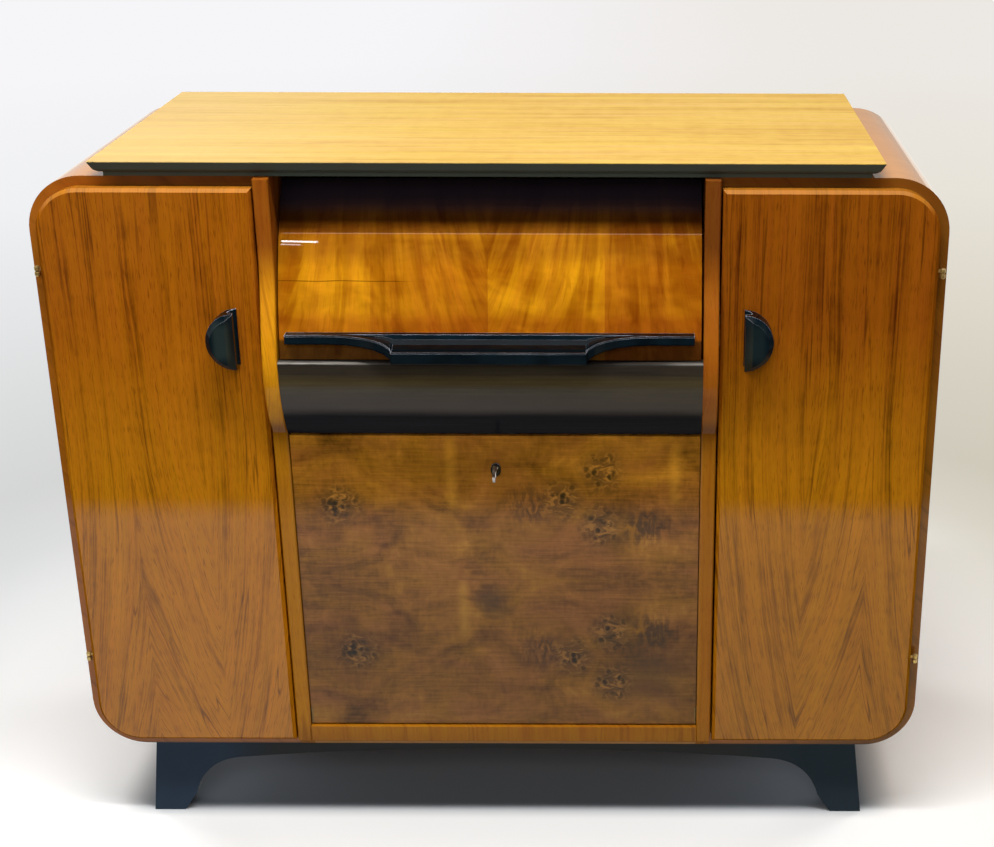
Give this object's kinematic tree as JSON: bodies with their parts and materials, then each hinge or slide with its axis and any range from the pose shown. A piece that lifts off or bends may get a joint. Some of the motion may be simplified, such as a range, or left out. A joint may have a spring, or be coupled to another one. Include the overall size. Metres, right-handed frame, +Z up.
{
  "type": "record cabinet",
  "caption": "Wooden record cabinet with round-shouldered side cupboards, a curved swing lid over a player deck, a lockable drop flap and a footed plinth.",
  "frame": {"origin": "on the floor under the middle of the cabinet's box", "axes": "+X to the right as seen from the front, +Y to the back, +Z up"},
  "size_m": [1.1, 0.493, 0.909],
  "materials": {
    "door_veneer": "glossy clear lacquer over straight-grained walnut veneer",
    "shell_veneer": "glossy clear lacquer over bent walnut plywood",
    "divider_wood": "glossy clear lacquer over solid fruitwood",
    "top_veneer": "satin clear lacquer over pale golden veneer",
    "lid_veneer": "high gloss lacquer over book-matched golden veneer",
    "burl_veneer": "glossy lacquer over burl veneer",
    "ebonised_wood": "semi-gloss dark stained veneer",
    "black_lacquer": "gloss black lacquer",
    "inside_wood": "plain sealed board",
    "plywood": "bare plywood",
    "brass": "worn polished brass",
    "steel": "nickelled steel"
  },
  "bodies": {
    "cabinet": {"back_panel": "plywood", "back_panel_screws": "steel", "bottom_rail": "divider_wood", "centre_floor": "inside_wood", "curved_front": "ebonised_wood", "flap_pivot_plates": "brass", "flap_stop_rail": "inside_wood", "left_divider": "divider_wood", "left_door_catch": "steel", "left_hinge_posts": "brass", "left_shelf": "inside_wood", "left_shell": "shell_veneer", "lid_pivot_pins": "steel", "lock_strike_plate": "brass", "player_deck": "inside_wood", "plinth_corner_blocks": "inside_wood", "plinth_front_rail": "black_lacquer", "plinth_left_rail": "black_lacquer", "plinth_rear_rail": "black_lacquer", "plinth_right_rail": "black_lacquer", "rear_top_rail": "inside_wood", "right_divider": "divider_wood", "right_door_catch": "steel", "right_hinge_posts": "brass", "right_shelf": "inside_wood", "right_shell": "shell_veneer", "shelf_pins": "brass", "top_board": "inside_wood", "top_edging": "black_lacquer", "top_spacer": "black_lacquer", "top_veneer": "top_veneer"},
    "left_door": {"left_door_panel": "door_veneer", "left_door_handle": "black_lacquer", "left_hinge_knuckles": "brass", "left_catch_tongue": "steel", "left_handle_screws": "steel"},
    "right_door": {"right_door_panel": "door_veneer", "right_door_handle": "black_lacquer", "right_hinge_knuckles": "brass", "right_catch_tongue": "steel", "right_handle_screws": "steel"},
    "lid": {"lid_panel": "lid_veneer", "lid_left_cheek": "inside_wood", "lid_right_cheek": "inside_wood", "lid_handle": "black_lacquer"},
    "flap": {"flap_panel": "burl_veneer", "flap_pivot_leaves": "brass", "flap_stay_brackets": "brass", "lock_case": "steel", "key_escutcheon": "black_lacquer"},
    "key": {"key": "steel"},
    "bolt": {"lock_bolt": "steel"},
    "left_stay": {"left_stay_arm": "brass"},
    "right_stay": {"right_stay_arm": "brass"},
    "left_keeper": {"left_stay_keeper": "brass"},
    "right_keeper": {"right_stay_keeper": "brass"}
  },
  "joints": [
    {"name": "left_door_swing", "type": "hinge", "parent": "cabinet", "child": "left_door", "pos_m": [-0.5435, -0.1915, 0.2485], "axis": [0, 0, -1], "range_deg": [0, 115]},
    {"name": "right_door_swing", "type": "hinge", "parent": "cabinet", "child": "right_door", "pos_m": [0.5435, -0.1915, 0.2485], "axis": [0, 0, 1], "range_deg": [0, 115]},
    {"name": "lid_swing", "type": "hinge", "parent": "cabinet", "child": "lid", "pos_m": [0, -0.0815, 0.68], "axis": [-1, 0, 0], "range_deg": [0, 80]},
    {"name": "flap_drop", "type": "hinge", "parent": "cabinet", "child": "flap", "pos_m": [0, -0.1915, 0.152], "axis": [1, 0, 0], "range_deg": [0, 90]},
    {"name": "key_turn", "type": "hinge", "parent": "flap", "child": "key", "pos_m": [0, -0.1945, 0.523], "axis": [0, -1, 0], "range_deg": [0, 180]},
    {"name": "bolt_throw", "type": "slide", "parent": "flap", "child": "bolt", "axis": [0, 0, 1], "range_m": [0, 0.01]},
    {"name": "left_stay_swing", "type": "hinge", "parent": "flap", "child": "left_stay", "pos_m": [-0.2515, -0.1655, 0.3503], "axis": [1, 0, 0], "range_deg": [-45, 0]},
    {"name": "left_keeper_turn", "type": "hinge", "parent": "cabinet", "child": "left_keeper", "pos_m": [-0.257, -0.0915, 0.32521], "axis": [1, 0, 0], "range_deg": [0, 45]},
    {"name": "right_stay_swing", "type": "hinge", "parent": "flap", "child": "right_stay", "pos_m": [0.2515, -0.1655, 0.3503], "axis": [1, 0, 0], "range_deg": [-45, 0]},
    {"name": "right_keeper_turn", "type": "hinge", "parent": "cabinet", "child": "right_keeper", "pos_m": [0.257, -0.0915, 0.32521], "axis": [1, 0, 0], "range_deg": [0, 45]}
  ],
  "couplings": [
    {"joint": "bolt_throw", "follows": "key_turn", "m_per_rad": 0.0031831},
    {"joint": "left_stay_swing", "follows": "flap_drop", "ratio": -0.5},
    {"joint": "left_keeper_turn", "follows": "flap_drop", "ratio": 0.5},
    {"joint": "right_stay_swing", "follows": "flap_drop", "ratio": -0.5},
    {"joint": "right_keeper_turn", "follows": "flap_drop", "ratio": 0.5}
  ]
}
